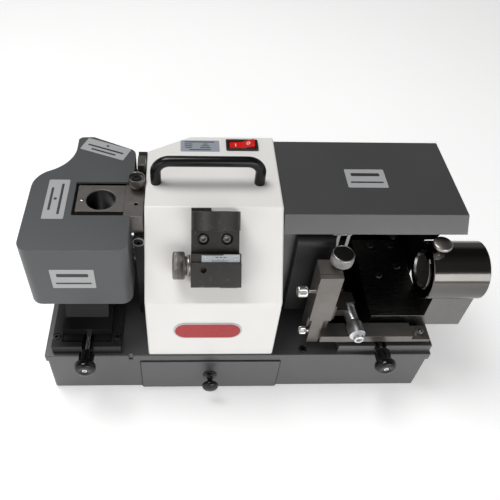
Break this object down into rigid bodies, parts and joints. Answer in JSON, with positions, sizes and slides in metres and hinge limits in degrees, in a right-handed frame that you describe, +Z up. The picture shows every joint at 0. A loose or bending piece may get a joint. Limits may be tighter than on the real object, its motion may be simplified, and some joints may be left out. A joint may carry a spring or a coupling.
{
  "type": "drill bit sharpener",
  "caption": "Bench grinder for twist drills and end mills: a motor between two wheels, covers, drill port, setting gauge, micrometer fence and chuck sleeve on a base with a drawer.",
  "frame": {"origin": "middle of the whole machine's footprint, on the bench under its feet", "axes": "+X to the right along the machine's length, +Y to the rear, +Z up; the drawer and feed knobs face -Y"},
  "size_m": [0.4866, 0.2304, 0.274],
  "materials": {
    "grey_enamel": "textured satin enamel",
    "white_enamel": "smooth satin enamel",
    "grey_moulding": "fine-grained moulding",
    "black_coat": "black semi-matte coat",
    "black_steel": "blackened ground steel",
    "ground_steel": "surface-ground steel",
    "polished_black": "polished blackened steel",
    "bright_steel": "bright turned steel",
    "screw_black": "black oxide",
    "satin_chrome": "satin chrome",
    "black_knob": "gloss moulding",
    "black_plastic": "matte moulding",
    "red_rocker": "gloss moulding",
    "rubber": "moulded rubber",
    "galvanised": "plated sheet",
    "cast_alloy": "cast alloy",
    "abrasive": "bonded diamond abrasive on a steel body",
    "scale_metal": "etched plate"
  },
  "bodies": {
    "machine": {"base_casing": "grey_enamel", "base_top_plate": "grey_enamel", "base_bottom_plate": "galvanised", "rubber_feet": "rubber", "drawer_runners": "galvanised", "cable_gland": "black_plastic", "frame_screws": "screw_black", "centre_cover": "white_enamel", "carry_handle": "black_plastic", "switch_bezel": "black_plastic", "motor_housing": "cast_alloy", "motor_end_bells": "cast_alloy", "motor_bearings": "bright_steel", "motor_cradle": "black_coat", "wheel_guard": "black_coat", "left_frame_plate": "black_coat", "right_frame_wall": "grey_enamel", "drill_port_block": "ground_steel", "drill_port_arm": "ground_steel", "cover_locator": "ground_steel", "drill_slide_base": "black_coat", "setter_body": "black_steel", "setter_screws": "screw_black", "mill_slide_base": "grey_enamel", "hood_hinge_pins": "bright_steel"},
    "drawer": {"drawer_tray": "grey_enamel", "drawer_knob": "black_knob"},
    "rocker": {"switch_rocker": "red_rocker"},
    "rotor": {"motor_shaft": "bright_steel", "drill_wheel": "abrasive", "mill_wheel": "abrasive", "wheel_nuts": "bright_steel"},
    "drill_hood": {"drill_cover": "grey_moulding"},
    "port_clamp": {"port_clamp_knob": "ground_steel"},
    "thinning_slide": {"thinning_carriage": "black_coat", "thinning_port_block": "ground_steel"},
    "drill_feed": {"drill_feed_screw": "bright_steel", "drill_feed_knob": "black_knob"},
    "setter_stop": {"setter_slide": "black_steel", "setter_scale": "scale_metal"},
    "setter_dial": {"setter_knob": "black_steel"},
    "mill_slide": {"mill_carriage": "black_coat", "fence_disc": "black_coat", "guide_bar": "ground_steel", "carriage_screws": "bright_steel", "fence_column": "ground_steel", "sleeve_stand": "black_coat", "sleeve_housing": "polished_black"},
    "mill_feed": {"mill_feed_screw": "bright_steel", "mill_feed_knob": "black_knob"},
    "fence_lift": {"micrometer_holder": "ground_steel", "micrometer_barrel": "satin_chrome"},
    "height_dial": {"fence_height_knob": "black_steel"},
    "micrometer_stem": {"micrometer_spindle": "bright_steel"},
    "micrometer_dial": {"micrometer_thimble": "satin_chrome"},
    "upper_thumb": {"upper_thumb_screw": "bright_steel"},
    "lower_thumb": {"lower_thumb_screw": "bright_steel"},
    "indexer": {"index_sleeve": "polished_black"},
    "index_pin": {"index_plunger": "satin_chrome"},
    "mill_hood": {"hood": "grey_enamel"}
  },
  "joints": [
    {"name": "drawer_slide", "type": "slide", "parent": "machine", "child": "drawer", "axis": [0, -1, 0], "range_m": [0, 0.12]},
    {"name": "rocker_tip", "type": "hinge", "parent": "machine", "child": "rocker", "pos_m": [-0.0164, 0.08225, 0.243], "axis": [0, 1, 0], "range_deg": [0, 14]},
    {"name": "rotor_spin", "type": "hinge", "parent": "machine", "child": "rotor", "pos_m": [-0.04165, 0.00125, 0.15], "axis": [1, 0, 0], "continuous": true},
    {"name": "drill_cover_lift", "type": "slide", "parent": "machine", "child": "drill_hood", "axis": [0, 0, 1], "range_m": [0, 0.11]},
    {"name": "port_clamp_turn", "type": "hinge", "parent": "machine", "child": "port_clamp", "pos_m": [-0.13215, 0.02025, 0.24], "axis": [0, 0, 1], "range_deg": [-180, 180]},
    {"name": "drill_feed_turn", "type": "hinge", "parent": "machine", "child": "drill_feed", "pos_m": [-0.19165, -0.08875, 0.085], "axis": [0, -1, 0], "range_deg": [-545, 1445]},
    {"name": "thinning_feed", "type": "slide", "parent": "machine", "child": "thinning_slide", "axis": [0, 1, 0], "range_m": [-0.00187, 0.005]},
    {"name": "setter_shift", "type": "slide", "parent": "machine", "child": "setter_stop", "axis": [1, 0, 0], "range_m": [-0.003, 0.0005]},
    {"name": "setter_turn", "type": "hinge", "parent": "setter_stop", "child": "setter_dial", "pos_m": [-0.08665, -0.06991, 0.21357], "axis": [1, 0, 0], "range_deg": [-1085, 185]},
    {"name": "mill_feed_turn", "type": "hinge", "parent": "machine", "child": "mill_feed", "pos_m": [0.14635, -0.08875, 0.085], "axis": [0, -1, 0], "range_deg": [-365, 1985]},
    {"name": "mill_feed_slide", "type": "slide", "parent": "machine", "child": "mill_slide", "axis": [0, 1, 0], "range_m": [-0.00125, 0.00688]},
    {"name": "height_turn", "type": "hinge", "parent": "mill_slide", "child": "height_dial", "pos_m": [0.07935, -0.06075, 0.21], "axis": [0, 0, -1], "range_deg": [-5, 1445]},
    {"name": "fence_raise", "type": "slide", "parent": "mill_slide", "child": "fence_lift", "axis": [0, 0, 1], "range_m": [0, 0.006]},
    {"name": "micrometer_advance", "type": "slide", "parent": "fence_lift", "child": "micrometer_stem", "axis": [-0.0958, 0.9954, 0], "range_m": [-0.0015, 0.0015]},
    {"name": "micrometer_turn", "type": "hinge", "parent": "micrometer_stem", "child": "micrometer_dial", "pos_m": [0.11335, -0.09375, 0.113], "axis": [-0.0958, 0.9954, 0], "range_deg": [-1085, 1085]},
    {"name": "upper_thumb_turn", "type": "hinge", "parent": "mill_slide", "child": "upper_thumb", "pos_m": [0.04835, -0.06475, 0.165], "axis": [1, 0, 0], "range_deg": [-180, 180]},
    {"name": "lower_thumb_turn", "type": "hinge", "parent": "mill_slide", "child": "lower_thumb", "pos_m": [0.05435, -0.07375, 0.105], "axis": [1, 0, 0], "range_deg": [-180, 180]},
    {"name": "index_turn", "type": "hinge", "parent": "mill_slide", "child": "indexer", "pos_m": [0.21135, -0.04075, 0.173], "axis": [1, 0, 0], "continuous": true},
    {"name": "index_pull", "type": "slide", "parent": "mill_slide", "child": "index_pin", "axis": [0, 0, 1], "range_m": [0, 0.004], "stiffness_N_per_m": 400, "springref_m": -0.006},
    {"name": "hood_swing", "type": "hinge", "parent": "machine", "child": "mill_hood", "pos_m": [0.11835, 0.09925, 0.196], "axis": [-1, 0, 0], "range_deg": [0, 75]}
  ],
  "couplings": [
    {"joint": "drill_feed_turn", "follows": "thinning_feed", "rad_per_m": 5026.5},
    {"joint": "setter_turn", "follows": "setter_shift", "rad_per_m": 6283.2},
    {"joint": "mill_feed_turn", "follows": "mill_feed_slide", "rad_per_m": 5026.5},
    {"joint": "height_turn", "follows": "fence_raise", "rad_per_m": 4188.8},
    {"joint": "micrometer_turn", "follows": "micrometer_advance", "rad_per_m": 12566}
  ]
}
